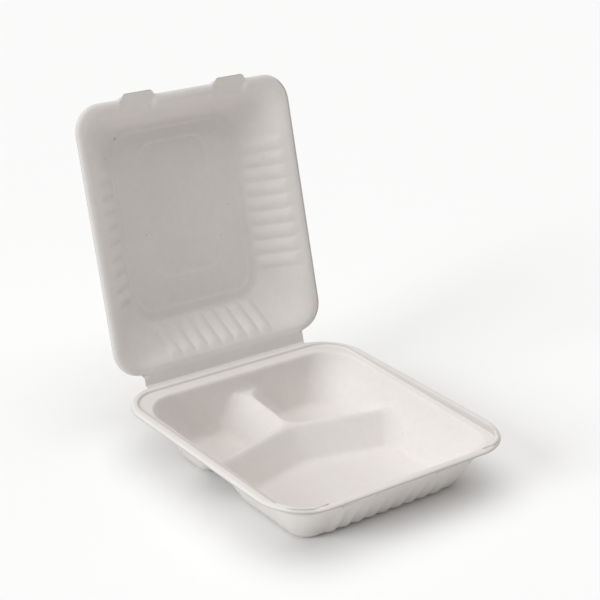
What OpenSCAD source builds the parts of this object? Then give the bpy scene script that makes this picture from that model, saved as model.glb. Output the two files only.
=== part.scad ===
// Hinged takeaway container moulded from sugar-cane pulp: a three-compartment tray
// and a ribbed lid joined by a creased web. Millimetres, +Z up.
// Origin: centre of the tray's footprint on its resting plane. Hinge at +Y, slots at -Y.

/* [Tray] */
// Width of the tray's flange outside the step at each side
rim_side_w = 8.6; // [7:0.2:12]
// Width of the tray's flange outside the step at the front
rim_front_w = 5.6; // [5:0.2:10]
// Height of the rim's top above the resting plane
tray_h = 45; // [38:1:52]
// Corner radius of the rim
rim_r = 41; // [36:1:44]
// Thickness of the moulded pulp
wall = 0.9; // [0.7:0.1:1.2]
// Thickness of the tray's flange at its pressed edge
rim_t = 1.5; // [1.2:0.1:2]

/* [Rim step] */
// Drop from the flange's top to the ledge at the front
ledge_drop = 5.8; // [4.6:0.2:6.4]
// Drop from the flange's top to the ledge's plane at the crease
ledge_back = 1; // [0.8:0.1:1.6]
// Width of the ledge at the sides and the back
ledge_w = 6.5; // [5:0.5:9]
// Width of the ledge at the front
ledge_front_w = 4; // [3:0.5:6]

/* [Compartments] */
// Distance from the rim's side edge to the floor's side edge
floor_side_in = 37; // [32:1:42]
// Distance from the rim's front edge to the floor's front edge
floor_front_in = 32; // [28:1:36]
// Distance from the crease to the floor's back edge
floor_back_in = 36; // [34:1:41]
// Corner radius at the top of the walls
bowl_top_r = 30; // [24:1:34]
// Corner radius at the floor
bowl_floor_r = 24; // [18:1:28]
// Radius between walls and floor
floor_fillet = 8; // [6:0.5:10]
// Depth of the dividers' crest below the rim
crest_drop = 20; // [16:1:24]
// How far the crest of the back divider climbs towards the back wall
crest_climb = 9; // [4:1:12]
// Rounding of the crest
crest_r = 3; // [2:0.5:4]
// Lean of the dividers' faces from upright, in degrees
crest_lean = 42; // [36:1:46]
// Distance from the front rim to the main crest at mid width
crest_mid = 152; // [144:1:158]
// Forward run of the main crest towards each side, in degrees
crest_sweep = 15; // [8:1:18]

/* [Flutes] */
// Number of flutes in the tray's front wall
flute_count = 9; // [7:1:10]
// Pitch of the flutes
flute_pitch = 13; // [12:0.5:13.5]
// Radius of a flute
flute_r = 8; // [7:0.5:9]
// How far a flute stands proud at the foot of the wall
flute_proud = 1.75; // [1:0.25:2.5]

/* [Lid] */
// Width of the lid over its rim
lid_w = 212; // [204:1:222]
// Length of the lid from the web to the free edge
lid_l = 226; // [218:1:236]
// Depth of the lid's pan
lid_h = 33; // [28:1:38]
// Thickness of the lid's pulp
lid_wall = 0.8; // [0.6:0.1:1.1]
// Corner radius of the lid's rim
lid_r = 24; // [20:1:30]
// Width of the lid's flange
lid_flange = 9; // [8:0.5:11]
// How far the lid's edge curls back from the flange's crest
curl_h = 1.6; // [0.8:0.2:2]
// Width of the curl
curl_w = 3; // [2:0.5:4]
// Distance from the pan's mouth to the panel at each side
panel_side_in = 33; // [26:1:36]
// Distance from the pan's mouth to the panel at the hinge
panel_hinge_in = 27; // [22:1:32]
// Distance from the pan's mouth to the panel at the free edge
panel_free_in = 14; // [10:1:18]
// Corner radius of the panel
panel_r = 22; // [18:1:26]
// Rounding between the flange and the walls
mouth_r = 3; // [2:0.5:4]
// Rounding between the walls and the panel
panel_fillet = 7; // [5:0.5:9]
// Width of the raised field of the panel
field_w = 68; // [50:1:90]
// Distance from the panel's edge to the field at the free edge
field_free_in = 17; // [10:1:24]
// Distance from the panel's edge to the field at the hinge
field_hinge_in = 33; // [20:1:40]
// Height of the raised field of the panel
field_rise = 0.8; // [0.4:0.1:1.4]
// Angle between the tray's rim and the opened lid, in degrees
open_angle = 107; // [100:0.5:115]

/* [Lid ribs] */
// Number of ribs on each side wall of the lid
rib_side_count = 9; // [6:1:10]
// Number of ribs on the hinge wall of the lid
rib_hinge_count = 8; // [5:1:8]
// Pitch of the ribs
rib_pitch = 12.8; // [12:0.2:13.6]
// Radius of a rib
rib_r = 5.4; // [4.6:0.2:6]
// How far a rib stands proud inside the lid
rib_proud = 1.6; // [1:0.2:2]
// Distance from the crease to the middle of the side ribs
rib_mid = 117; // [110:1:124]

/* [Hinge web] */
// Length of the web between the crease and the lid's rim
web_l = 10; // [8:0.5:12]
// Width of the web along the crease
web_w = 164; // [150:1:170]
// Radius of the notches at the web's ends
web_notch_r = 7; // [5:0.5:8]

/* [Lock] */
// Distance of each tab and slot from the middle
lock_x = 46; // [40:1:52]
// Width of a tab at its root
tab_w = 35; // [30:1:40]
// Width of a tab at its tip
tab_tip_w = 24; // [18:1:28]
// How far a tab stands out from the lid's free edge
tab_out = 4.1; // [3:0.1:4.4]
// How far a tab's tip hooks down towards the tray
tab_hook = 1.5; // [1:0.1:1.6]
// Running clearance between the tabs, the lid's rim and the tray
gap = 0.4; // [0.2:0.05:0.6]
// How far the slot's lower lip stands out from the step
lip_out = 0.6; // [0.4:0.1:0.8]
// How far the slot's lower lip lies below the ledge
sill_drop = 0.7; // [0.4:0.1:1]

/* [Hidden] */
arc_n = 8;
pulp = [0.93, 0.91, 0.88];
// The tray is sized round the lid that closes into it
tray_w = lid_w + 2 * (gap + rim_side_w);
tray_d = web_l + lid_l + gap + rim_front_w;
front_y = -tray_d / 2;
crease_y = tray_d / 2;
floor_drop = tray_h - wall;
side_skin = wall / cos(crest_lean);
// The lid swings past level by this much until its free edge lies on the ledge
seat_angle = asin((ledge_drop - gap) / (web_l + lid_l));
tab_tip_y = crease_y - web_l - lid_l - tab_out;
recess_x = lid_w / 2 + gap;
recess_front = crease_y - web_l - lid_l - gap;
recess_back = crease_y - web_l + gap;
recess_r = lid_r + gap;
bowl_x = recess_x - ledge_w;
bowl_front = recess_front + ledge_front_w;
bowl_back = recess_back - ledge_w;
floor_x = tray_w / 2 - floor_side_in;
floor_front = front_y + floor_front_in;
floor_back = crease_y - floor_back_in;
wall_run = floor_drop - ledge_drop;
side_lean = atan((bowl_x - floor_x) / wall_run);
front_lean = atan((floor_front - bowl_front) / wall_run);
back_lean = atan((bowl_back - floor_back) / wall_run);
crest_y = front_y + crest_mid;
ridge_foot = crest_r / cos(crest_lean) + (floor_drop - crest_drop - crest_r) * tan(crest_lean);
mouth_x = lid_w / 2 - lid_flange;
mouth_u0 = web_l + lid_flange;
mouth_u1 = web_l + lid_l - lid_flange;
panel_x = mouth_x - panel_side_in;
panel_u0 = mouth_u0 + panel_hinge_in;
panel_u1 = mouth_u1 - panel_free_in;
lid_side_lean = atan(panel_side_in / lid_h);
lid_hinge_lean = atan(panel_hinge_in / lid_h);
lid_free_lean = atan(panel_free_in / lid_h);
lid_skin = lid_wall / cos(lid_side_lean);

// Horizontal run outwards from a wall's sharp foot, at height h above the floor
function foot_run(h, lean, r) =
    let (s = 1 - h / r)
    s > sin(lean) ? r * (tan(lean) - 1 / cos(lean) + sqrt(max(0, 1 - s * s))) : h * tan(lean);

// Depth of the ledge below the flange, growing from the crease to the front
function ledge_at(y) = ledge_back + (ledge_drop - ledge_back) * (crease_y - y) / (crease_y - recess_front);

// Half width of a divider at depth d below the rim
function ridge_half(d) =
    let (s = (crest_drop + crest_r - d) / crest_r)
    s > sin(crest_lean)
        ? crest_r * sqrt(max(0, 1 - s * s))
        : ridge_foot - foot_run(floor_drop - d, crest_lean, floor_fillet);

// Points on one rounded corner: centre x and y, radius, start and end direction
function corner(c, z) =
    [for (k = [0:arc_n]) let (a = c[3] + (c[4] - c[3]) * k / arc_n) [c[0] + c[2] * cos(a), c[1] + c[2] * sin(a), z]];

function ring(corners, z) = [for (c = corners) each corner(c, z)];

// The same ring laid on the ledge's plane and lowered by drop
function ledge_ring(corners, drop) = [for (q = ring(corners, 0)) [q[0], q[1], tray_h - ledge_at(q[1]) - drop]];

// Rounded rectangle as four corners, from x -w to w and y y0 to y1
function box_corners(w, y0, y1, r) = [
    [w - r, y0 + r, r, -90, 0],
    [w - r, y1 - r, r, 0, 90],
    [r - w, y1 - r, r, 90, 180],
    [r - w, y0 + r, r, 180, 270]
];

// Corner radius of the walls at depth d, shrinking inside the floor's fillet
function wall_r(d) =
    bowl_top_r + (bowl_floor_r - bowl_top_r) * (d - ledge_drop) / wall_run;

function side_at(d) = floor_x + foot_run(floor_drop - d, side_lean, floor_fillet);
function front_at(d) = floor_front - foot_run(floor_drop - d, front_lean, floor_fillet);
function back_at(d) = floor_back + foot_run(floor_drop - d, back_lean, floor_fillet);

// Outline above the dividers, grown sideways by skin
function head_corners(d, skin) =
    box_corners(side_at(d) + skin, front_at(d) - skin, back_at(d) + skin, wall_r(d) + skin);

// Front compartment: two front corners and a swept back edge with a rounded middle
function front_corners(d, skin) =
    let (
        x = side_at(d) + skin,
        y0 = front_at(d) - skin,
        r = wall_r(d) + skin,
        q = wall_r(d) * 0.5 + skin,
        mid = crest_y - (ridge_half(d) - skin) / cos(crest_sweep),
        m = tan(crest_sweep),
        rm = 3 * r
    ) [
        [x - r, y0 + r, r, -90, 0],
        [x - q, mid - m * (x - q) - q / cos(crest_sweep), q, 0, 90 - crest_sweep],
        [0, mid - rm / cos(crest_sweep), rm, 90 - crest_sweep, 90 + crest_sweep],
        [q - x, mid - m * (x - q) - q / cos(crest_sweep), q, 90 + crest_sweep, 180],
        [r - x, y0 + r, r, 180, 270]
    ];

// Right back compartment, between the two dividers and the walls
function back_corners(d, skin) =
    let (
        x0 = ridge_half(d) - skin,
        x1 = side_at(d) + skin,
        y1 = back_at(d) + skin,
        r = wall_r(d) + skin,
        q = wall_r(d) * 0.5 + skin,
        mid = crest_y + (ridge_half(d) - skin) / cos(crest_sweep),
        m = tan(crest_sweep)
    ) [
        [x0 + q, mid - m * (x0 + q) + q / cos(crest_sweep), q, 180, 270 - crest_sweep],
        [x1 - q, mid - m * (x1 - q) + q / cos(crest_sweep), q, 270 - crest_sweep, 360],
        [x1 - r, y1 - r, r, 0, 90],
        [x0 + q, y1 - q, q, 90, 180]
    ];

// Depths at which the compartments' outlines are taken, finer in both roundings
floor_steps = [for (a = [30:20:90]) floor_drop - floor_fillet * (1 - sin(a))];
bowl_steps = concat([crest_drop, crest_drop + crest_r * 0.12, crest_drop + crest_r * 0.45], floor_steps);

// Closed skin over a stack of rings with equal point counts, lowest ring first
module loft(rings) {
    n = len(rings[0]);
    m = len(rings);
    polyhedron(
        points = [for (r = rings) each r],
        faces = concat(
            [[for (i = [0:n - 1]) i]],
            [[for (i = [n - 1:-1:0]) (m - 1) * n + i]],
            [for (k = [0:m - 2], i = [0:n - 1]) [k * n + i, (k + 1) * n + (i + 1) % n, k * n + (i + 1) % n]],
            [for (k = [0:m - 2], i = [0:n - 1]) [k * n + i, (k + 1) * n + i, (k + 1) * n + (i + 1) % n]]
        ),
        convexity = 4
    );
}

module plate(corners, z0, z1) {
    loft([ring(corners, z0), ring(corners, z1)]);
}

// The space above the dividers; skin and drop grow it into its own outside
module head(skin, drop) {
    loft([for (d = [crest_drop, ledge_back]) ring(head_corners(d, skin), tray_h - d - drop)]);
}

// The space in which the lid's flange lies, down to the sloping ledge
module step_space(corners, drop, top) {
    loft([ledge_ring(corners, drop), ring(corners, top)]);
}

// Crest of the back divider above the other crests, climbing to the back wall
module climb(inset) {
    y0 = crest_y + crest_r;
    y1 = back_at(crest_drop - crest_climb) + crest_r;
    low = tray_h - crest_drop - crest_r - 1;
    hull() {
        for (e = [[y0, 0], [y1, crest_climb]]) {
            top = tray_h - crest_drop - crest_r + e[1];
            translate([0, e[0], top]) {
                rotate([90, 0, 0]) {
                    cylinder(r = crest_r - inset, h = 0.01, $fn = 32);
                }
            }
            half = crest_r * cos(crest_lean) + (e[1] + 1 + crest_r * sin(crest_lean)) * tan(crest_lean) - inset / cos(crest_lean);
            translate([-half, e[0], low]) {
                cube([2 * half, 0.01, 0.01]);
            }
        }
    }
}

module compartments(skin, drop) {
    steps = [for (i = [len(bowl_steps) - 1:-1:0]) bowl_steps[i]];
    loft([for (d = steps) ring(front_corners(d, skin), tray_h - d - drop)]);
    for (s = [0, 1]) {
        mirror([s, 0, 0]) {
            loft([for (d = steps) ring(back_corners(d, skin), tray_h - d - drop)]);
        }
    }
}

// Flutes fade out towards the ledge and are fullest at the foot
module flutes(r) {
    foot = floor_drop - flute_r;
    top = ledge_drop + flute_r;
    for (i = [0:flute_count - 1]) {
        x = (i - (flute_count - 1) / 2) * flute_pitch;
        hull() {
            translate([x, front_at(foot) + (flute_r - flute_proud) / cos(front_lean), tray_h - foot]) {
                sphere(r = r, $fn = 16);
            }
            translate([x, front_at(top) + (flute_r - flute_proud / 2) / cos(front_lean), tray_h - top]) {
                sphere(r = r, $fn = 16);
            }
        }
    }
}

// One slot: the step's riser is open under the flange, which is notched for the tab
module slot_cut(x) {
    w = tab_w + 2 * gap;
    translate([x - w / 2, tab_tip_y - gap, tray_h - ledge_drop - sill_drop]) {
        cube([w, recess_front - tab_tip_y + gap + 0.01, ledge_drop + sill_drop + 1]);
    }
}

// Lower lip of a slot, just below the ledge
module slot_lip(x) {
    w = tab_w + 2 * gap + 2 * wall;
    translate([x - w / 2, recess_front - wall - lip_out, tray_h - ledge_drop - sill_drop - wall]) {
        cube([w, lip_out + wall + ledge_front_w, wall]);
    }
}

module base() {
    rim = box_corners(tray_w / 2, front_y, crease_y, rim_r);
    recess = box_corners(recess_x, recess_front, recess_back, recess_r);
    step = box_corners(recess_x + wall, recess_front - wall, recess_back + wall, recess_r + wall);
    color(pulp) {
        difference() {
            union() {
                plate(rim, tray_h - rim_t, tray_h);
                step_space(step, wall, tray_h - wall / 2);
                difference() {
                    union() {
                        head(side_skin, wall);
                        compartments(side_skin, wall);
                    }
                    climb(wall);
                }
                flutes(flute_r + wall);
                for (s = [-1, 1]) {
                    slot_lip(s * lock_x);
                }
            }
            step_space(recess, 0, tray_h + 1);
            difference() {
                union() {
                    head(0, 0);
                    compartments(0, 0);
                }
                climb(0);
            }
            flutes(flute_r);
            for (s = [-1, 1]) {
                slot_cut(s * lock_x);
            }
        }
    }
}

// Outline of the lid's pan at height h above the mouth, grown sideways by skin
function pan_corners(h, skin) =
    let (
        up = lid_h - lid_wall - h,
        lip = mouth_r * (1 - sqrt(max(0, 1 - pow(max(0, 1 - h / mouth_r), 2)))),
        x = panel_x + foot_run(up, lid_side_lean, panel_fillet) + lip + skin,
        u0 = panel_u0 - foot_run(up, lid_hinge_lean, panel_fillet) - lip - skin,
        u1 = panel_u1 + foot_run(up, lid_free_lean, panel_fillet) + lip + skin
    )
    box_corners(x, crease_y - u1, crease_y - u0, panel_r + skin + lip);

pan_steps = concat([0, mouth_r * 0.3, mouth_r], [for (a = [30:20:90]) lid_h - lid_wall - panel_fillet * (1 - sin(a))]);

module pan(skin, rise) {
    loft([for (h = pan_steps) ring(pan_corners(h, skin), h + rise)]);
}

// Raised field of the panel, with sloping edges
module field(skin, rise) {
    u0 = panel_u0 + field_hinge_in;
    u1 = panel_u1 - field_free_in;
    z = lid_h - lid_wall + rise;
    foot = box_corners(field_w / 2 + skin, crease_y - u1 - skin, crease_y - u0 + skin, panel_r * 0.7);
    top = box_corners(field_w / 2 + skin - field_rise, crease_y - u1 - skin + field_rise,
        crease_y - u0 + skin - field_rise, panel_r * 0.7 - field_rise);
    loft([ring(foot, z - lid_wall), ring(foot, z), ring(top, z + field_rise)]);
}

// Lid's outline drawn in by inset, at height z
function lid_ring(inset, z) =
    ring(box_corners(lid_w / 2 - inset, crease_y - web_l - lid_l + inset, crease_y - web_l - inset, lid_r - inset), z);

// Flange whose edge curls back, as a shell of the pulp's thickness
module flange() {
    difference() {
        loft([
            lid_ring(curl_w, 0),
            lid_ring(curl_w * 0.3, curl_h * 0.3),
            lid_ring(0, curl_h),
            lid_ring(0, curl_h + lid_wall)
        ]);
        loft([
            lid_ring(curl_w + lid_wall * 0.4, lid_wall),
            lid_ring(curl_w * 0.3 + lid_wall * 0.8, curl_h * 0.3 + lid_wall),
            lid_ring(lid_wall, curl_h + lid_wall * 0.9),
            lid_ring(lid_wall, curl_h + lid_wall + 1)
        ]);
    }
}

// Bars that run up a wall from the mouth to the panel; placed with the wall's inner face along +X
module bar(lean, r) {
    out = (rib_r - rib_proud) / cos(lean);
    low = mouth_r + rib_r;
    high = lid_h - lid_wall - rib_r;
    hull() {
        for (h = [low, high]) {
            translate([foot_run(lid_h - lid_wall - h, lean, panel_fillet) + out, 0, h]) {
                sphere(r = r, $fn = 12);
            }
        }
    }
}

module ribs(r) {
    for (s = [0, 1], i = [0:rib_side_count - 1]) {
        mirror([s, 0, 0]) {
            translate([panel_x, crease_y - rib_mid + (i - (rib_side_count - 1) / 2) * rib_pitch, 0]) {
                bar(lid_side_lean, r);
            }
        }
    }
    for (i = [0:rib_hinge_count - 1]) {
        translate([(i - (rib_hinge_count - 1) / 2) * rib_pitch, crease_y - panel_u0, 0]) {
            rotate([0, 0, 90]) {
                bar(lid_hinge_lean, r);
            }
        }
    }
}

// Web with a round notch at each end, from the crease to the lid's rim
module web() {
    difference() {
        translate([-web_w / 2 - web_notch_r, crease_y - web_l - lid_r, 0]) {
            cube([web_w + 2 * web_notch_r, web_l + lid_r - gap / 2, lid_wall]);
        }
        for (s = [-1, 1]) {
            translate([s * (web_w / 2 + web_notch_r), crease_y - web_notch_r + 1, -1]) {
                cylinder(r = web_notch_r, h = lid_wall + 2, $fn = 32);
            }
            translate([s * (web_w / 2 + web_notch_r) - web_notch_r, crease_y - web_notch_r + 1, -1]) {
                cube([2 * web_notch_r, web_notch_r, lid_wall + 2]);
            }
        }
    }
}

// Tab that carries the flange past the free edge and hooks down at its tip
module tab(x) {
    edge = crease_y - web_l - lid_l;
    translate([x, edge, 0]) {
        translate([-tab_w / 2, 0, 0]) {
            cube([tab_w, lid_flange / 2, lid_wall]);
        }
        hull() {
            translate([-tab_w / 2, 0, 0]) {
                cube([tab_w, 0.01, lid_wall]);
            }
            translate([-tab_tip_w / 2, lid_wall - tab_out, -tab_hook]) {
                cube([tab_tip_w, 0.01, lid_wall]);
            }
        }
        hull() {
            translate([-tab_tip_w / 2, lid_wall - tab_out, -tab_hook]) {
                cube([tab_tip_w, 0.01, lid_wall]);
            }
            translate([-tab_tip_w / 2, -tab_out, -tab_hook]) {
                cube([tab_tip_w, 0.01, lid_wall]);
            }
        }
    }
}

module lid_level() {
    difference() {
        union() {
            flange();
            web();
            difference() {
                union() {
                    pan(lid_skin, lid_wall);
                    field(lid_skin / 2, lid_wall);
                }
                ribs(rib_r - lid_skin);
            }
            for (s = [-1, 1]) {
                tab(s * lock_x);
            }
        }
        difference() {
            union() {
                pan(0, 0);
                field(0, 0);
                plate(pan_corners(0, 0), -1, 0.01);
            }
            ribs(rib_r);
        }
    }
}

module lid() {
    color(pulp) {
        translate([0, crease_y, tray_h]) {
            rotate([-open_angle, 0, 0]) {
                translate([0, -crease_y, gap]) {
                    lid_level();
                }
            }
        }
    }
}

base();
lid();
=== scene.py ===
"""Moulded-pulp clamshell food container, standing open: meshes, finish, light and camera."""
from __future__ import annotations

import logging
import math
from dataclasses import dataclass, field
from enum import Enum
from typing import Callable, Sequence

import bpy
import numpy as np
from mathutils import Matrix, Vector


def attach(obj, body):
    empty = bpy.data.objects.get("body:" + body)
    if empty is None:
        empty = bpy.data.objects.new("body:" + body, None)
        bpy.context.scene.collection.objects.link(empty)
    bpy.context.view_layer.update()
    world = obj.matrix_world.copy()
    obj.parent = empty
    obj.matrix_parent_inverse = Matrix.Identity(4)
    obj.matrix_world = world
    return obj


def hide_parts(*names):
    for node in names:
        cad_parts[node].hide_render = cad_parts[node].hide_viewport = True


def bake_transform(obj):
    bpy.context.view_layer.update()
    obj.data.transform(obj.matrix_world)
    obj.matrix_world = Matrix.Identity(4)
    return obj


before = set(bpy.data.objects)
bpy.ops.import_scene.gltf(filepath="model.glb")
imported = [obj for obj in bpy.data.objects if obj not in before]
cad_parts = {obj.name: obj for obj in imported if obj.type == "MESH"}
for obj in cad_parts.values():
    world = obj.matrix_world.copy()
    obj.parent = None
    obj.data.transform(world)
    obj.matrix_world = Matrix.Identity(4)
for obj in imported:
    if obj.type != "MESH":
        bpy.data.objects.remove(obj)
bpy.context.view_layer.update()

logging.basicConfig(level=logging.INFO, format="%(message)s")
log = logging.getLogger("container")

MM = 0.001
HINGE = (121.0, 45.0)
OPEN_DEG = 107.0
GAP = 0.4
UNEVEN = 0.12
HALVINGS = 26
SHARP_DEG = 62
Array = np.ndarray


class Side(Enum):
    """Which way a sheet shows its smooth, pressed face."""

    UP = 1
    DOWN = -1


def smooth(a: float, b: float, x: Array) -> Array:
    """Eased step from 0 at a to 1 at b."""
    t = np.clip((x - a) / (b - a), 0.0, 1.0)
    return t * t * (3.0 - 2.0 * t)


def smooth_step(x: float, top: float) -> float:
    """Share of the way from 0 to top, held between 0 and 1."""
    return min(max(x / top, 0.0), 1.0)


def round_max(a: Array, b: Array, r: float | Array) -> Array:
    """Larger of two distances, with the corner between them rounded to radius r."""
    p = np.maximum(a + r, 0.0)
    q = np.maximum(b + r, 0.0)
    return np.where((a > -r) & (b > -r), np.hypot(p, q) - r, np.maximum(a, b))


def soft_max(a: Array, b: Array, k: Array | float) -> Array:
    """Larger of two heights, blended over a height of about k."""
    h = np.maximum(k - np.abs(a - b), 0.0) / k
    return np.maximum(a, b) + h * h * k * 0.25


def soft_min(a: Array, b: Array, k: Array | float) -> Array:
    """Smaller of two heights, blended over a height of about k."""
    return -soft_max(-a, -b, k)


def foot_run(h: Array, lean: float, r: float) -> Array:
    """Horizontal run outwards from a wall's sharp foot.

    Args:
        h: Height above the floor.
        lean: Lean of the wall from upright, in radians.
        r: Radius between floor and wall.

    Returns:
        The run at that height, negative inside the fillet.
    """
    s = 1.0 - h / r
    curve = r * (math.tan(lean) - 1.0 / math.cos(lean) + np.sqrt(np.clip(1.0 - s * s, 0.0, None)))
    return np.where(s > math.sin(lean), curve, h * math.tan(lean))


def deepest(inside: Callable[[Array], Array], low: float, high: float, like: Array) -> Array:
    """Largest depth at which each point still lies inside a narrowing hollow.

    Args:
        inside: Signed distance at an array of depths, negative inside.
        low: Depth at which every point counts as inside.
        high: Depth of the floor.
        like: Array that gives the shape.

    Returns:
        The depth at each point.
    """
    a = np.full_like(like, low)
    b = np.full_like(like, high)
    at_floor = inside(b) <= 0.0
    for _ in range(HALVINGS):
        m = 0.5 * (a + b)
        good = inside(m) <= 0.0
        a = np.where(good, m, a)
        b = np.where(good, b, m)
    return np.where(at_floor, high, a)


@dataclass(frozen=True)
class Outline:
    """Rounded rectangle from x -half to half and y front to back."""

    half: float
    front: float
    back: float
    radius: float

    def inset(self, d: float) -> Outline:
        """The same outline drawn in by d."""
        return Outline(self.half - d, self.front + d, self.back - d, max(self.radius - d, 0.5))


@dataclass(frozen=True)
class Lattice:
    """How many steps each side of a sheet is cut into."""

    across: int = 146
    along: int = 152
    bend: int = 18

    @property
    def nx(self) -> int:
        """Steps along the front or back, half corners included."""
        return self.across + 2 * self.bend

    @property
    def ny(self) -> int:
        """Steps along a side, half corners included."""
        return self.along + 2 * self.bend

    def ring(self, o: Outline) -> Array:
        """Points round an outline, starting at the middle of the front left corner.

        Args:
            o: The outline.

        Returns:
            An array of 2 * (nx + ny) points.
        """
        r = o.radius
        out: list[tuple[float, float]] = []
        x, y0, y1 = o.half - r, o.front + r, o.back - r
        centres = [(x, y0), (x, y1), (-x, y1), (-x, y0)]
        for k in range(4):
            c0 = centres[(k + 3) % 4]
            c1 = centres[k]
            steps = self.across if k % 2 == 0 else self.along
            face = math.radians(-90.0 + 90.0 * k)
            for i in range(self.bend):
                a = face - math.pi / 4 * (1.0 - i / self.bend)
                out.append((c0[0] + r * math.cos(a), c0[1] + r * math.sin(a)))
            for i in range(steps):
                t = i / steps
                out.append((
                    c0[0] + (c1[0] - c0[0]) * t + r * math.cos(face),
                    c0[1] + (c1[1] - c0[1]) * t + r * math.sin(face),
                ))
            for i in range(self.bend):
                a = face + math.pi / 4 * i / self.bend
                out.append((c1[0] + r * math.cos(a), c1[1] + r * math.sin(a)))
        return np.array(out)

    def on_front(self) -> Array:
        """Marks the points of a ring that lie on its straight front."""
        mark = np.zeros(2 * (self.nx + self.ny), dtype=bool)
        mark[self.bend: self.bend + self.across + 1] = True
        return mark

    def on_back(self) -> Array:
        """Marks the points of a ring that lie on its back, with most of the corners."""
        mark = np.zeros(2 * (self.nx + self.ny), dtype=bool)
        mark[self.nx + self.ny + 2: 2 * self.nx + self.ny - 1] = True
        return mark

    def patch(self, ring: Array) -> Array:
        """Grid of points that fills a ring.

        Args:
            ring: Points from ring().

        Returns:
            Array (ny + 1, nx + 1, 2) whose border is the ring.
        """
        nx, ny = self.nx, self.ny
        f = ring[: nx + 1]
        rt = ring[nx: nx + ny + 1]
        b = ring[nx + ny: 2 * nx + ny + 1][::-1]
        lf = np.vstack([ring[2 * nx + ny:], ring[:1]])[::-1]
        u = ((f[:, 0] - f[0, 0]) / (f[-1, 0] - f[0, 0]))[None, :, None]
        v = ((rt[:, 1] - rt[0, 1]) / (rt[-1, 1] - rt[0, 1]))[:, None, None]
        flat = (1 - v) * f[None] + v * b[None] + (1 - u) * lf[:, None] + u * rt[:, None]
        bent = (1 - u) * (1 - v) * f[0] + u * (1 - v) * f[-1] + (1 - u) * v * b[0] + u * v * b[-1]
        return flat - bent

    def border(self) -> Array:
        """Indices of a patch's border points, in ring order."""
        nx, ny = self.nx, self.ny
        w = nx + 1
        f = [i for i in range(nx)]
        r = [j * w + nx for j in range(ny)]
        b = [ny * w + i for i in range(nx, 0, -1)]
        lf = [j * w for j in range(ny, 0, -1)]
        return np.array(f + r + b + lf)


@dataclass
class Sheet:
    """A surface of points and quads that is thickened into pulp.

    Args:
        side: Which way the smooth face looks.
    """

    side: Side
    points: list[Array] = field(default_factory=list)
    quads: list[Array] = field(default_factory=list)
    # Share of painted shade and of darker edge at each point, from 0 to 1.
    pressed: list[Array] = field(default_factory=list)
    size: int = 0

    def add(self, xyz: Array, pressed: Array | float = 0.0) -> Array:
        """Add points (n, 3), with their share of painted shade and darker edge, and return their
        indices.
        """
        self.points.append(np.asarray(xyz, dtype=float))
        self.pressed.append(np.broadcast_to(np.asarray(pressed, dtype=float), len(xyz)))
        out = np.arange(self.size, self.size + len(xyz))
        self.size += len(xyz)
        return out

    def add_grid(self, xyz: Array) -> Array:
        """Add a grid of points (rows, columns, 3) with its quads and return their indices."""
        rows, cols = xyz.shape[:2]
        idx = self.add(xyz.reshape(-1, 3)).reshape(rows, cols)
        q = np.stack([idx[:-1, :-1], idx[:-1, 1:], idx[1:, 1:], idx[1:, :-1]], -1).reshape(-1, 4)
        self.quads.append(q)
        return idx

    def band(self, inner: Array, outer: Array, closed: bool = True, keep: Array | None = None) -> None:
        """Quads between two rows of indices, leaving out the columns that keep marks False."""
        a, b = (np.append(inner, inner[0]), np.append(outer, outer[0])) if closed else (inner, outer)
        q = np.stack([a[:-1], b[:-1], b[1:], a[1:]], -1)
        self.quads.append(q if keep is None else q[keep])

    def thicken(self, name: str, thickness: float) -> bpy.types.Object:
        """Close the surface into a sheet.

        Args:
            name: Name of the object.
            thickness: Thickness of the pulp in millimetres.

        Returns:
            The linked object, in metres.
        """
        p = np.vstack(self.points)
        q = np.vstack(self.quads)
        if self.side is Side.DOWN:
            q = q[:, ::-1]
        n = np.cross(p[q[:, 2]] - p[q[:, 0]], p[q[:, 3]] - p[q[:, 1]])
        vn = np.zeros_like(p)
        for c in range(4):
            np.add.at(vn, q[:, c], n)
        vn /= np.maximum(np.linalg.norm(vn, axis=1, keepdims=True), 1e-12)
        back = p - vn * thickness
        m = len(p)
        edges = np.vstack([q[:, [i, (i + 1) % 4]] for i in range(4)])
        key = edges[:, 0] * m + edges[:, 1]
        rev = edges[:, 1] * m + edges[:, 0]
        rim = edges[~np.isin(key, rev)]
        sides = np.stack([rim[:, 1], rim[:, 0], rim[:, 0] + m, rim[:, 1] + m], -1)
        faces = np.vstack([q, q[:, ::-1] + m, sides])
        used = np.unique(faces)
        remap = np.full(2 * m, -1)
        remap[used] = np.arange(len(used))
        mesh = bpy.data.meshes.new(name)
        mesh.from_pydata((np.vstack([p, back])[used] * MM).tolist(), [], remap[faces].tolist())
        mesh.validate()
        # The painted shade and edge darkening is stored on both faces as a point attribute for the
        # shader.
        shade_and_edge_share = np.tile(np.concatenate(self.pressed), 2)[used]
        mesh.attributes.new("pressed", "FLOAT", "POINT").data.foreach_set("value", shade_and_edge_share)
        mesh.polygons.foreach_set("use_smooth", [True] * len(mesh.polygons))
        mesh.set_sharp_from_angle(angle=math.radians(SHARP_DEG))
        obj = bpy.data.objects.new(name, mesh)
        bpy.context.scene.collection.objects.link(obj)
        return obj


def wander(x: Array, y: Array, seed: int) -> Array:
    """Slow unevenness of pressed pulp, within about 1.

    Args:
        x: Positions across, in millimetres.
        y: Positions along, in millimetres.
        seed: Fixed seed of the waves.

    Returns:
        The unevenness at each point.
    """
    rng = np.random.default_rng(seed)
    out = np.zeros_like(x)
    for _ in range(9):
        a = rng.uniform(0.0, 2.0 * math.pi)
        wave = rng.uniform(24.0, 70.0)
        along = x * math.cos(a) + y * math.sin(a)
        out += np.sin(along * 2.0 * math.pi / wave + rng.uniform(0.0, 6.3))
    return out / 5.0


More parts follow.
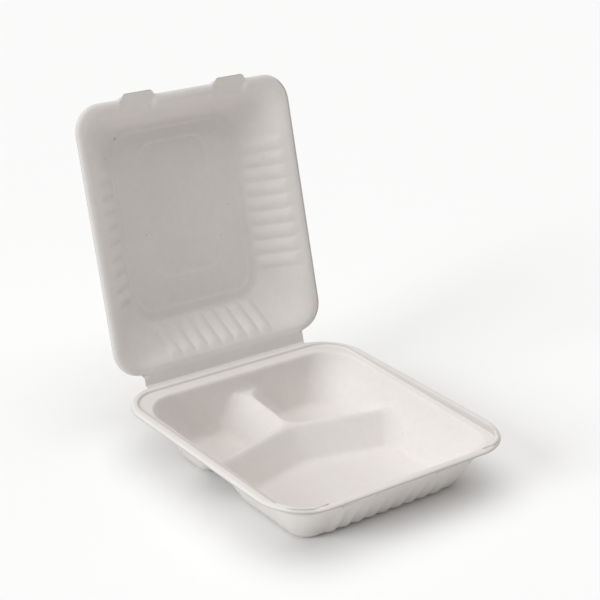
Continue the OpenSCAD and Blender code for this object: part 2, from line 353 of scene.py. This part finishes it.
@dataclass
class Tray:
    """The square lower half: rim, ledge, slots and three compartments. Sizes are in millimetres."""

    half: float = 115.0
    deep: float = 242.0
    height: float = 45.0
    wall: float = 0.9
    rim: Outline = Outline(115.0, -121.0, 121.0, 41.0)
    recess: Outline = Outline(106.4, -115.4, 111.4, 24.4)
    ledge_drop: float = 5.8
    ledge_back: float = 1.0
    ledge_w: float = 6.5
    ledge_front_w: float = 4.0
    ledge_back_w: float = 12.0
    floor_side_in: float = 37.0
    floor_front_in: float = 32.0
    floor_back_in: float = 36.0
    top_r: float = 30.0
    floor_r: float = 24.0
    floor_front_r: float = 12.0
    fillet: float = 8.0
    crest_drop: float = 20.0
    crest_r: float = 3.0
    crest_lean: float = math.radians(42.0)
    crest_y: float = 31.0
    crest_trim: float = 0.2
    crest_rise: float = 4.2
    crest_soft: float = 3.4
    crest_lift: float = 0.115
    elbow: float = 60.0
    sweep: float = math.radians(15.0)
    flutes: int = 9
    flute_pitch: float = 13.0
    flute_proud: float = 2.2
    slot_x: float = 46.0
    slot_w: float = 35.8
    sill: tuple[tuple[float, float], ...] = ((0.4, 0.1), (-0.5, 0.5), (-1.6, 0.7))
    seam_in: float = 1.2
    # Share of painted shade laid on the riser between ledge and flange.
    riser_shade: float = 0.5
    roll_w: float = 3.0
    roll_front: float = 4.5
    roll_h: float = 2.4
    roll_turns: tuple[float, ...] = (18.0, 34.0, 50.0, 65.0, 78.0, 90.0)
    lattice: Lattice = field(default_factory=Lattice)

    def __post_init__(self) -> None:
        """Work out the walls from the named sizes."""
        self.floor_d = self.height - self.wall
        run = self.floor_d - self.ledge_drop
        self.run = run
        self.floor_x = self.half - self.floor_side_in
        self.floor_y0 = -self.deep / 2 + self.floor_front_in
        self.floor_y1 = self.deep / 2 - self.floor_back_in
        self.lean_x = math.atan((self.recess.half - self.ledge_w - self.floor_x) / run)
        self.lean_y0 = math.atan((self.floor_y0 - self.recess.front - self.ledge_front_w) / run)
        self.lean_y1 = math.atan((self.recess.back - self.ledge_back_w - self.floor_y1) / run)
        below = self.floor_d - self.crest_drop - self.crest_r
        self.ridge_foot = self.crest_r / math.cos(self.crest_lean) + below * math.tan(self.crest_lean)

    def ledge_at(self, y: Array) -> Array:
        """Depth of the ledge below the flange."""
        slope = (self.ledge_drop - self.ledge_back) / (self.deep / 2 - self.recess.front)
        return self.ledge_back + (self.deep / 2 - y) * slope

    def ridge_half(self, d: Array, lift: Array) -> Array:
        """Half width of a divider at depth d, with its flanks steepened by lift."""
        return self.ridge_foot - foot_run(self.floor_d - d, self.crest_lean, self.fillet) * (1.0 - lift)

    def flute(self, x: Array, d: Array) -> Array:
        """How far the front wall stands out in its flutes, at x and depth d."""
        span = self.flutes * self.flute_pitch / 2
        wave = 0.5 + 0.5 * np.cos(2.0 * math.pi * x / self.flute_pitch)
        ends = 1.0 - smooth(span - 2.5, span + 0.5, np.abs(x))
        fade = smooth(self.ledge_drop + 3.0, self.floor_d - 12.0, d)
        return self.flute_proud * wave ** 0.8 * ends * fade

    def outer(self, x: Array, y: Array, d: Array) -> tuple[Array, Array, Array, Array]:
        """Distances to the side, front and back walls at depth d, and their corner radius."""
        h = self.floor_d - d
        foot_r = self.floor_r + (self.floor_front_r - self.floor_r) * smooth(10.0, 50.0, -y)
        r = self.top_r + (foot_r - self.top_r) * (d - self.ledge_drop) / self.run
        sx = np.abs(x) - (self.floor_x + foot_run(h, self.lean_x, self.fillet))
        f = self.floor_y0 - foot_run(h, self.lean_y0, self.fillet) - self.flute(x, d) - y
        b = y - (self.floor_y1 + foot_run(h, self.lean_y1, self.fillet))
        return sx, f, b, r

    def climb(self, y: Array) -> Array:
        """How far along its climb the back divider's crest is, from 0 to 1."""
        return smooth(self.crest_y - 4.0, self.crest_y + 56.0, y)

    def face(self, x: Array, y: Array) -> Array:
        """Height of the smooth face above the resting plane."""
        m = math.tan(self.sweep)
        c = math.cos(self.sweep)
        swept = self.crest_y - m * (np.sqrt(x * x + self.elbow) - math.sqrt(self.elbow))
        rear_side = smooth(self.crest_y + 24.0, self.crest_y + 50.0, y)
        lift = self.crest_lift * self.climb(y)

        def hollow(d: Array) -> Array:
            """Distance outside the undivided hollow at depth d."""
            sx, f, b, r = self.outer(x, y, d)
            return round_max(round_max(sx, f, r), b, r)

        def rooms(d: Array) -> Array:
            """Distance outside the nearest compartment at depth d."""
            sx, f, b, r = self.outer(x, y, d)
            w = self.ridge_half(d, 0.0 * y)
            q = r * (0.5 + 0.16 * rear_side)
            main = round_max(round_max(sx, f, r), (y - swept) * c + w, r * 0.5)
            rear = round_max(round_max(sx, b, r), (swept - y) * c + w, r * 0.5)
            rear = round_max(rear, self.ridge_half(d, lift) - np.abs(x), q)
            return np.minimum(main, rear)

        outside = self.height - deepest(hollow, 0.0, self.floor_d, x)
        inside = self.height - deepest(rooms, 0.0, self.floor_d, x)
        top = self.height - self.crest_drop - self.crest_trim + self.crest_rise * self.climb(y)
        ridge = soft_min(inside, top, self.crest_soft)
        blend = 0.05 + 7.0 * smooth(0.5, 6.0, inside - outside)
        level = soft_max(outside, np.minimum(ridge, inside), blend)
        ledge = self.height - self.ledge_at(y)
        level = soft_min(level, ledge, 1.4)
        return np.maximum(level, self.height - self.floor_d)

    def build(self) -> bpy.types.Object:
        """Mesh the tray."""
        lat = self.lattice
        sheet = Sheet(Side.UP)
        ring = lat.ring(self.recess.inset(self.seam_in))
        grid = lat.patch(ring)
        x, y = grid[..., 0], grid[..., 1]
        z = self.face(x, y)
        z = z + UNEVEN * wander(x, y, 11) * smooth(0.0, 10.0, z)
        idx = sheet.add_grid(np.dstack([x, y, z]))
        inner = idx.reshape(-1)[lat.border()]
        rows: list[tuple[Array, Array]] = []
        led = self.height - self.ledge_at(ring[:, 1])
        rise = self.height - led
        for d, up in ((0.7, 0.04), (0.3, 0.16), (0.06, 0.4)):
            rows.append((lat.ring(self.recess.inset(d)), led + np.minimum(rise * 0.9, 1.2) * up))
        flat = np.ones(len(ring))
        rows.append((lat.ring(self.recess.inset(-0.05)), led + np.minimum(rise * 0.45, 1.2)))
        rows.append((lat.ring(self.recess.inset(-0.2)), self.height - np.minimum(rise * 0.45, 1.0)))
        rows.append((lat.ring(self.recess.inset(-0.45)), self.height - 0.32 * flat))
        shoulder = lat.ring(self.recess.inset(-1.0))
        rows.append((shoulder, self.height - 0.03 * flat))
        fore = smooth(70.0, 108.0, -ring[:, 1])[:, None]

        def rolled(share: float) -> Array:
            """Ring of the roll at a share of its width in from the edge, wider along the front."""
            thin = lat.ring(self.rim.inset(self.roll_w * share))
            return thin + (lat.ring(self.rim.inset(self.roll_front * share)) - thin) * fore

        near = rolled(1.0)
        for t in (0.33, 0.66, 1.0):
            rows.append((shoulder + (near - shoulder) * t, self.height * flat))
        for a in self.roll_turns:
            s, c = math.sin(math.radians(a)), math.cos(math.radians(a))
            rows.append((rolled(1.0 - s), (self.height - self.roll_h * (1.0 - c)) * flat))
        slot = lat.on_front() & (np.abs(np.abs(ring[:, 0]) - self.slot_x) < self.slot_w / 2)
        keep = ~(slot & np.roll(slot, -1))
        last = inner
        for k, (p, h) in enumerate(rows):
            if k < 3:
                p = p.copy()
                p[slot, 1] = self.recess.front + self.sill[k][0]
                h = np.where(slot, self.height - self.ledge_drop - self.sill[k][1], h)
            # Painted shade: the riser rows get a fixed share, and the last turns of the roll darken
            # towards the outer edge.
            tint = self.riser_shade if 3 <= k <= 6 else smooth_step(k - 12.2, len(rows) - 13.2)
            cur = sheet.add(np.column_stack([p, h]), pressed=tint)
            sheet.band(last, cur, keep=keep if 3 <= k <= 5 else None)
            last = cur
        return sheet.thicken("tray", self.wall)


@dataclass
class Lid:
    """The upper half: ribbed walls, panel, curled flange, tabs and web. Sizes are in millimetres."""

    half: float = 106.0
    long: float = 226.0
    web: float = 10.0
    corner: float = 24.0
    wall: float = 0.8
    height: float = 33.0
    flange: float = 9.0
    flange_hinge: float = 5.5
    side_in: float = 33.0
    hinge_in: float = 30.5
    free_in: float = 14.0
    panel_r: float = 22.0
    mouth_r: float = 4.6
    fillet: float = 6.0
    curl_h: float = 2.6
    curl_w: float = 4.6
    curl_turns: tuple[float, ...] = (12.0, 24.0, 36.0, 48.0, 59.0, 69.0, 78.0, 85.0, 90.0)
    field_half: float = 34.0
    field_r: float = 15.0
    field_free_in: float = 17.0
    field_hinge_in: float = 33.0
    field_rise: float = 0.8
    step_half: float = 58.5
    step_rise: float = 0.7
    step_hinge_in: float = 8.0
    step_free_in: float = 6.0
    step_r: float = 17.0
    ribs_side: int = 9
    ribs_hinge: int = 8
    rib_pitch: float = 12.9
    rib_pitch_hinge: float = 13.3
    rib_proud: float = 2.8
    rib_mid: float = 125.4
    tab_x: float = 45.7
    tab_shift: float = 0.8
    tab_w: float = 36.5
    tab_tip_w: float = 24.5
    tab_out: float = 3.9
    tab_hook: float = 1.5
    tab_slope: float = 0.5
    channel_reach: float = 20.0
    web_half: float = 82.0
    web_cuts: tuple[float, ...] = (0.04, 0.1, 0.2, 0.35, 0.5, 0.65, 0.8, 0.92, 1.0)
    notch_r: float = 7.0
    lattice: Lattice = field(default_factory=Lattice)

    def __post_init__(self) -> None:
        """Work out the pan from the named sizes, with y measured back to the crease."""
        crease = HINGE[0]
        self.outline = Outline(self.half, crease - self.web - self.long, crease - self.web, self.corner)
        self.panel_x = self.half - self.flange - self.side_in
        self.y_hinge = crease - self.web - self.flange_hinge - self.hinge_in
        self.y_free = self.outline.front + self.flange + self.free_in
        self.top = self.height - self.wall
        self.lean_x = math.atan(self.side_in / self.height)
        self.lean_hinge = math.atan(self.hinge_in / self.height)
        self.lean_free = math.atan(self.free_in / self.height)

    def corrugate(self, s: Array, count: int, pitch: float, h: Array) -> Array:
        """Relief of the ribs.

        Args:
            s: Distance from the middle of the row.
            count: Number of ribs.
            pitch: Distance from rib to rib.
            h: Height in the pan.

        Returns:
            How far the wall stands in towards the middle.
        """
        u = s / pitch + (0.5 if count % 2 == 0 else 0.0)
        t = np.abs(u - np.round(u)) * 2.0
        wave = 1.0 - np.clip(t, 0.0, 1.0) ** 1.9
        ends = 1.0 - smooth(count * pitch / 2 - 1.6, count * pitch / 2 + 0.4, np.abs(s))
        fade = smooth(0.6, 4.6, h) * (1.0 - smooth(self.top - 6.0, self.top - 0.8, h))
        return self.rib_proud * wave * ends * fade

    def rise(self, x: Array, y: Array) -> Array:
        """Height of the smooth face above the flange's crest plane, in the closed pose."""

        def inside(h: Array) -> Array:
            """Distance outside the pan's outline at height h."""
            up = self.top - h
            s = np.clip(1.0 - h / self.mouth_r, 0.0, 1.0)
            lip = self.mouth_r * (1.0 - np.sqrt(np.clip(1.0 - s * s, 0.0, None)))
            rx = self.corrugate(y - (HINGE[0] - self.rib_mid), self.ribs_side, self.rib_pitch, h)
            ry = self.corrugate(x, self.ribs_hinge, self.rib_pitch_hinge, h)
            sx = np.abs(x) - (self.panel_x + foot_run(up, self.lean_x, self.fillet) + lip - rx)
            b = y - (self.y_hinge + foot_run(up, self.lean_hinge, self.fillet) + lip - ry)
            f = (self.y_free - foot_run(up, self.lean_free, self.fillet) - lip) - y
            r = self.panel_r + lip
            return round_max(round_max(sx, f, r), b, r)

        h = deepest(inside, 0.0, self.top, x)
        fx = np.abs(x) - self.field_half
        near, far = self.y_free + self.field_free_in, self.y_hinge - self.field_hinge_in
        d = round_max(fx, np.maximum(y - far, near - y), self.field_r)
        ex = np.abs(x) - self.step_half
        near, far = self.y_free + self.step_free_in, self.y_hinge - self.step_hinge_in
        e = round_max(ex, np.maximum(y - far, near - y), self.step_r)
        on_panel = smooth(self.top - 1.5, self.top - 0.2, h)
        h = h + self.step_rise * (1.0 - smooth(-1.3, 0.0, e)) * on_panel
        return h + self.field_rise * (1.0 - smooth(-1.8, 0.0, d))

    def tab(self, x: Array) -> Array:
        """How far the free edge runs out into a tab, from 0 to 1."""
        off = np.abs(np.abs(x - self.tab_shift) - self.tab_x)
        foot = (self.tab_w - self.tab_tip_w) / 2
        return 1.0 - np.clip((off - self.tab_tip_w / 2) / foot, 0.0, 1.0)

    def build(self) -> bpy.types.Object:
        """Mesh the lid in its closed pose and swing it open."""
        lat = self.lattice
        sheet = Sheet(Side.DOWN)
        grid = lat.patch(lat.ring(self.outline.inset(self.curl_w)))
        x, y = grid[..., 0], grid[..., 1]
        z = self.rise(x, y) + UNEVEN * wander(x, y, 29)
        ramp = self.tab_out + y - self.outline.front
        channel = self.tab_slope * ramp - self.tab_hook
        cut = (channel > z) & (y - self.outline.front < self.channel_reach)
        z = z + (channel - z) * smooth(0.15, 0.75, self.tab(x)) * cut
        front, back = lat.on_front(), lat.on_back()
        idx = sheet.add_grid(np.dstack([x, y, z]))
        last = idx.reshape(-1)[lat.border()]
        edge = z.reshape(-1)[lat.border()]
        for a in self.curl_turns:
            t = math.sin(math.radians(a))
            up = self.curl_h * (1.0 - math.cos(math.radians(a)))
            p = lat.ring(self.outline.inset(self.curl_w * (1.0 - t)))
            m = np.where(front, self.tab(p[:, 0]), 0.0)
            past = smooth(self.web_half - 2.0, self.web_half + 6.0, np.abs(p[:, 0]))
            w = np.where(back, 1.0 - past, 0.0)
            h = np.minimum(edge, 1.0) * (1.0 - t) + up * (1.0 - w)
            ramp = (self.curl_w + self.tab_out) * (1.0 - t)
            dip = smooth(0.15, 0.75, m)
            h = h * (1.0 - dip) + dip * (self.tab_slope * ramp - self.tab_hook)
            p = p.copy()
            p[:, 1] -= m * self.tab_out * t
            # Painted shade: on the right side the curl darkens from its crest outwards, where it turns
            # away from the key lamp; elsewhere only the outermost turns darken.
            shaded = smooth(0.86 * self.half, 0.97 * self.half, p[:, 0])
            tint = smooth_step(a - 70.0, 18.0) * (1.0 - shaded)
            tint += smooth_step(a - 14.0, 30.0) * shaded
            cur = sheet.add(np.column_stack([p, h]), pressed=tint * (1.0 - w))
            sheet.band(last, cur)
            last = cur
            outer = p
            outer_h = h
        pick = np.where(back & (np.abs(outer[:, 0]) <= self.web_half + 4.2))[0]
        prev = last[pick]
        p0 = outer[pick]
        h0 = outer_h[pick]
        reach = float(np.abs(p0[:, 0]).max())
        crease = HINGE[0]
        for t in self.web_cuts:
            py = p0[:, 1] + (crease - GAP / 2 - p0[:, 1]) * t
            u = crease - py
            n = np.clip(u - 6.0, 0.0, self.notch_r)
            flare = self.notch_r - np.sqrt(np.clip(self.notch_r ** 2 - n * n, 0.0, None))
            px = p0[:, 0] * (self.web_half + np.minimum(flare, reach - self.web_half)) / reach
            h = h0 * (1.0 - smooth(0.0, 0.35, np.full_like(h0, t)))
            cur = sheet.add(np.column_stack([px, py, h]))
            sheet.band(prev, cur, closed=False)
            prev = cur
        obj = sheet.thicken("lid", self.wall)
        swing = Matrix.Translation((0.0, crease * MM, HINGE[1] * MM))
        swing @= Matrix.Rotation(math.radians(-OPEN_DEG), 4, "X")
        swing @= Matrix.Translation((0.0, -crease * MM, GAP * MM))
        obj.data.transform(swing)
        return obj


@dataclass
class Crease:
    """The bent line of pulp that joins the two halves. Sizes are in millimetres."""

    half: float = 81.5
    reach: float = 1.6
    thick: float = 0.7
    bulge: float = 0.22
    sink: float = 0.34
    columns: int = 80
    lines: int = 13

    def build(self) -> bpy.types.Object:
        """Mesh the strip round the bend from the flange to the web."""
        sheet = Sheet(Side.UP)
        lean = math.radians(180.0 - OPEN_DEG)
        xs = np.linspace(-self.half, self.half, self.columns)
        rows = []
        for s in np.linspace(-self.reach, self.reach, self.lines):
            t = s / self.reach
            bend = self.bulge * math.cos(t * math.pi / 2)
            if s < 0.0:
                y, z = HINGE[0] + s, HINGE[1] - 0.03
            else:
                y = HINGE[0] + s * math.cos(lean)
                z = HINGE[1] + s * math.sin(lean)
                y += self.sink * math.sin(lean) * t ** 0.5
                z -= self.sink * math.cos(lean) * t ** 0.5
            level = np.ones_like(xs)
            rows.append(np.column_stack([xs, (y + bend * 0.3) * level, (z + bend * 0.2) * level]))
        sheet.add_grid(np.stack(rows))
        return sheet.thicken("crease", self.thick)


class Signal:
    """A shader socket that takes part in Python sums."""

    def __init__(self, tree: bpy.types.NodeTree, socket: bpy.types.NodeSocket) -> None:
        """Wrap a socket of a tree."""
        self.tree = tree
        self.socket = socket

    def _math(self, kind: str, a: Signal | float, b: Signal | float | None = None) -> Signal:
        """One Math node."""
        node = self.tree.nodes.new("ShaderNodeMath")
        node.operation = kind
        for i, v in enumerate((a, b)):
            if isinstance(v, Signal):
                self.tree.links.new(v.socket, node.inputs[i])
            elif v is not None:
                node.inputs[i].default_value = v
        return Signal(self.tree, node.outputs[0])

    def __add__(self, other: Signal | float) -> Signal:
        """Sum."""
        return self._math("ADD", self, other)

    __radd__ = __add__

    def __sub__(self, other: Signal | float) -> Signal:
        """Difference."""
        return self._math("SUBTRACT", self, other)

    def __rsub__(self, other: float) -> Signal:
        """Difference from a number."""
        return self._math("SUBTRACT", other, self)

    def __mul__(self, other: Signal | float) -> Signal:
        """Product."""
        return self._math("MULTIPLY", self, other)

    __rmul__ = __mul__

    def below(self, limit: float) -> Signal:
        """1 where the signal is under a limit."""
        return self._math("LESS_THAN", self, limit)

    def above(self, limit: float) -> Signal:
        """1 where the signal is over a limit."""
        return self._math("GREATER_THAN", self, limit)

    def most(self, other: Signal | float) -> Signal:
        """Larger of the two."""
        return self._math("MAXIMUM", self, other)

    def ramp(self, low: float, high: float) -> Signal:
        """Eased step from 0 at low to 1 at high."""
        node = self.tree.nodes.new("ShaderNodeMapRange")
        node.interpolation_type = "SMOOTHSTEP"
        self.tree.links.new(self.socket, node.inputs["Value"])
        node.inputs["From Min"].default_value = low
        node.inputs["From Max"].default_value = high
        return Signal(self.tree, node.outputs["Result"])


class Dresser:
    """Builds one material's node tree."""

    def __init__(self, name: str) -> None:
        """Start a material with a bare shader."""
        self.material = bpy.data.materials.new(name)
        self.material.use_nodes = True
        self.tree = self.material.node_tree
        self.tree.nodes.clear()
        self.out = self.tree.nodes.new("ShaderNodeOutputMaterial")
        self.shader = self.tree.nodes.new("ShaderNodeBsdfPrincipled")
        self.tree.links.new(self.shader.outputs[0], self.out.inputs[0])

    def node(
        self, kind: str, settings: dict[str, object], inputs: dict[str | int, object]
    ) -> bpy.types.Node:
        """Add a node.

        Args:
            kind: Blender's node type.
            settings: Properties that are set first.
            inputs: Values or Signals of its sockets.

        Returns:
            The node.
        """
        node = self.tree.nodes.new(kind)
        for key, value in settings.items():
            setattr(node, key, value)
        for key, value in inputs.items():
            if isinstance(value, Signal):
                self.tree.links.new(value.socket, node.inputs[key])
            else:
                node.inputs[key].default_value = value
        return node

    def signal(self, node: bpy.types.Node, output: str | int = 0) -> Signal:
        """Wrap a node's output."""
        return Signal(self.tree, node.outputs[output])

    def place(self) -> Signal:
        """Positions on the piece, in metres."""
        return self.signal(self.node("ShaderNodeTexCoord", {}, {}), "Object")

    def noise(self, at: Signal, scale: float, detail: float, rough: float, bend: float) -> Signal:
        """Cloudy noise from 0 to 1."""
        node = self.node(
            "ShaderNodeTexNoise", {},
            {"Vector": at, "Scale": scale, "Detail": detail, "Roughness": rough, "Distortion": bend},
        )
        return self.signal(node, 0)

    def blend(self, factor: Signal, a: Signal | Sequence[float], b: Signal | Sequence[float]) -> Signal:
        """Mix two colours."""
        node = self.node("ShaderNodeMix", {"data_type": "RGBA"}, {})
        self.tree.links.new(factor.socket, node.inputs[0])
        for i, v in ((6, a), (7, b)):
            if isinstance(v, Signal):
                self.tree.links.new(v.socket, node.inputs[i])
            else:
                node.inputs[i].default_value = (*v, 1.0)
        return Signal(self.tree, node.outputs[2])

    def feed(self, socket: str, value: Signal) -> None:
        """Link a signal to the shader."""
        self.tree.links.new(value.socket, self.shader.inputs[socket])


@dataclass(frozen=True)
class Fleck:
    """A dark speck of bark or husk in the pulp, at a place on the part in metres."""

    x: float
    y: float
    z: float
    size: float
    depth: float


def lid_spot(x: float, y: float, z: float, size: float, depth: float) -> Fleck:
    """A fleck given by its place on the closed lid, in millimetres, swung open with it."""
    a = math.radians(OPEN_DEG)
    v, w = y - HINGE[0], z + GAP
    return Fleck(
        x * MM,
        (HINGE[0] + v * math.cos(a) + w * math.sin(a)) * MM,
        (HINGE[1] - v * math.sin(a) + w * math.cos(a)) * MM,
        size * MM,
        depth,
    )


@dataclass(frozen=True)
class PulpFinish:
    """Pressed sugar-cane pulp: warm white, mottled, with short fibres and a few dark flecks."""

    name: str = "moulded_pulp"
    pale: tuple[float, float, float] = (0.775, 0.742, 0.722)
    deep: tuple[float, float, float] = (0.71, 0.662, 0.625)
    # Dark colour that the painted shade and the darker roll edges blend towards.
    rim: tuple[float, float, float] = (0.38, 0.37, 0.34)
    fleck: tuple[float, float, float] = (0.33, 0.24, 0.17)
    roughness: float = 0.74
    gloss: float = 0.3
    flecks: tuple[Fleck, ...] = (
        lid_spot(-54.2, -82.7, 32.6, 1.3, 0.5),
        lid_spot(-68.1, -68.2, 28.0, 0.8, 0.75),
        lid_spot(-18.7, -59.7, 32.6, 0.9, 0.45),
        lid_spot(-12.3, -45.8, 33.0, 0.8, 0.4),
        lid_spot(-12.3, -8.6, 33.0, 1.0, 0.45),
        lid_spot(-0.1, 2.5, 33.0, 0.8, 0.4),
        lid_spot(47.0, -8.8, 32.6, 0.9, 0.4),
        lid_spot(34.8, 16.4, 32.6, 0.8, 0.35),
        lid_spot(-38.5, 1.9, 32.6, 0.9, 0.4),
        Fleck(0.0235, 0.0258, 0.008, 0.0011, 0.55),
        Fleck(0.0353, 0.0179, 0.008, 0.0013, 0.6),
        Fleck(-0.052, 0.104, 0.031, 0.0009, 0.4),
    )

    def make(self) -> bpy.types.Material:
        """Build the material."""
        d = Dresser(self.name)
        at = d.place()
        cloud = d.noise(at, 16.0, 3.0, 0.55, 0.4)
        mottle = d.noise(at, 160.0, 4.0, 0.6, 0.6)
        fibre = d.noise(at, 1100.0, 3.0, 0.65, 2.4)
        tone = cloud.ramp(0.3, 0.7) * 0.5 + mottle.ramp(0.32, 0.68) * 0.35 + fibre * 0.3
        colour = d.blend(tone * 0.62, self.pale, self.deep)
        cell = d.node(
            "ShaderNodeTexVoronoi", {"feature": "F1"}, {"Vector": at, "Scale": 95.0, "Randomness": 1.0}
        )
        near = d.signal(cell, "Distance").below(0.06)
        pick = d.node("ShaderNodeSeparateColor", {}, {"Color": d.signal(cell, "Color")})
        rare = d.signal(pick, "Red").above(0.97)
        spots = near * rare * 0.35
        ragged = (mottle - 0.5) * 0.0016
        for f in self.flecks:
            away = d.node("ShaderNodeVectorMath", {"operation": "DISTANCE"}, {0: at, 1: (f.x, f.y, f.z)})
            close = 1.0 - (d.signal(away, "Value") + ragged).ramp(f.size * 0.45, f.size * 1.15)
            spots = spots.most(close * f.depth)
        colour = d.blend(spots, colour, self.fleck)
        # Painted shade: the attribute blends towards the dark rim colour on the tray's riser, along the
        # lid's right-hand roll and at the outer edges of the rolls.
        shade_and_edge_share = d.signal(d.node("ShaderNodeAttribute", {"attribute_name": "pressed"}, {}), "Fac")
        colour = d.blend(shade_and_edge_share * 0.8, colour, self.rim)
        d.feed("Base Color", colour)
        d.feed("Roughness", self.roughness + (mottle - 0.5) * 0.12)
        d.shader.inputs["Specular IOR Level"].default_value = self.gloss
        coarse = d.noise(at, 420.0, 4.0, 0.6, 0.8)
        bump = d.node(
            "ShaderNodeBump", {},
            {"Height": coarse * 0.7 + fibre * 0.3, "Strength": 0.3, "Distance": 0.0004},
        )
        d.feed("Normal", d.signal(bump))
        return d.material


@dataclass(frozen=True)
class Lamp:
    """A soft, even lamp: the direction to it, its spread in degrees, its strength and colour."""

    name: str
    away: tuple[float, float, float]
    spread: float
    power: float
    tint: tuple[float, float, float]


@dataclass
class Studio:
    """Pale floor, soft light and the camera."""

    eye: tuple[float, float, float] = (-0.76529, -0.96245, 0.67123)
    right: tuple[float, float, float] = (0.797004, -0.60328, 0.02894)
    down: tuple[float, float, float] = (-0.215603, -0.328943, -0.919408)
    ahead: tuple[float, float, float] = (0.56418, 0.726533, -0.392238)
    lens: float = 102.81
    floor_half: float = 30.0
    floor_tone: float = 0.95
    sky: float = 0.29
    lamps: tuple[Lamp, ...] = (
        Lamp("key_left", (-0.92, 0.03, 0.38), 30.0, 1.55, (0.93, 0.98, 1.0)),
        Lamp("top_soft", (0.05, 0.12, 0.99), 80.0, 1.75, (1.0, 0.985, 0.97)),
    )

    def camera(self) -> None:
        """Set the camera at the photograph's viewing angle."""
        data = bpy.data.cameras.new("camera")
        data.sensor_width = 36.0
        data.lens = self.lens
        data.clip_end = 50.0
        obj = bpy.data.objects.new("camera", data)
        bpy.context.scene.collection.objects.link(obj)
        up, behind = [-v for v in self.down], [-v for v in self.ahead]
        m = Matrix((self.right, up, behind)).transposed().to_4x4()
        m.translation = Vector(self.eye)
        obj.matrix_world = m
        bpy.context.scene.camera = obj

    def hang(self, lamp: Lamp) -> None:
        """Add a lamp."""
        data = bpy.data.lights.new(lamp.name, "SUN")
        data.color = lamp.tint
        data.angle = math.radians(lamp.spread)
        data.energy = lamp.power
        obj = bpy.data.objects.new(lamp.name, data)
        bpy.context.scene.collection.objects.link(obj)
        obj.location = Vector(lamp.away) * 2.0
        obj.rotation_euler = Vector(lamp.away).to_track_quat("Z", "Y").to_euler()

    def floor(self) -> None:
        """Lay the floor and set the sky."""
        mesh = bpy.data.meshes.new("floor")
        s = self.floor_half
        mesh.from_pydata([(-s, -s, 0), (s, -s, 0), (s, s, 0), (-s, s, 0)], [], [(0, 1, 2, 3)])
        obj = bpy.data.objects.new("floor", mesh)
        bpy.context.scene.collection.objects.link(obj)
        d = Dresser("pale_floor")
        d.shader.inputs["Base Color"].default_value = (*[self.floor_tone] * 3, 1.0)
        d.shader.inputs["Roughness"].default_value = 0.9
        obj.data.materials.append(d.material)
        world = bpy.data.worlds.new("studio")
        world.use_nodes = True
        back = world.node_tree.nodes["Background"]
        back.inputs[0].default_value = (1.0, 1.0, 1.0, 1.0)
        back.inputs[1].default_value = self.sky
        bpy.context.scene.world = world

    def build(self) -> None:
        """Set up the whole studio."""
        self.floor()
        for lamp in self.lamps:
            self.hang(lamp)
        self.camera()
        bpy.context.scene.view_settings.view_transform = "Standard"


def main() -> None:
    """Build every piece, dress it and report it."""
    pulp = PulpFinish().make()
    tray = Tray().build()
    tray.data.materials.append(pulp)
    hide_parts("base")
    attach(tray, "tray")
    log.info("tray: %d faces", len(tray.data.polygons))
    lid = Lid().build()
    lid.data.materials.append(pulp)
    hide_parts("lid")
    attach(lid, "cover")
    log.info("lid: %d faces", len(lid.data.polygons))
    strip = Crease().build()
    strip.data.materials.append(pulp)
    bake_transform(strip)
    log.info("crease: %d faces", len(strip.data.polygons))
    Studio().build()
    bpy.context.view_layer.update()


if __name__ == "__main__":
    main()
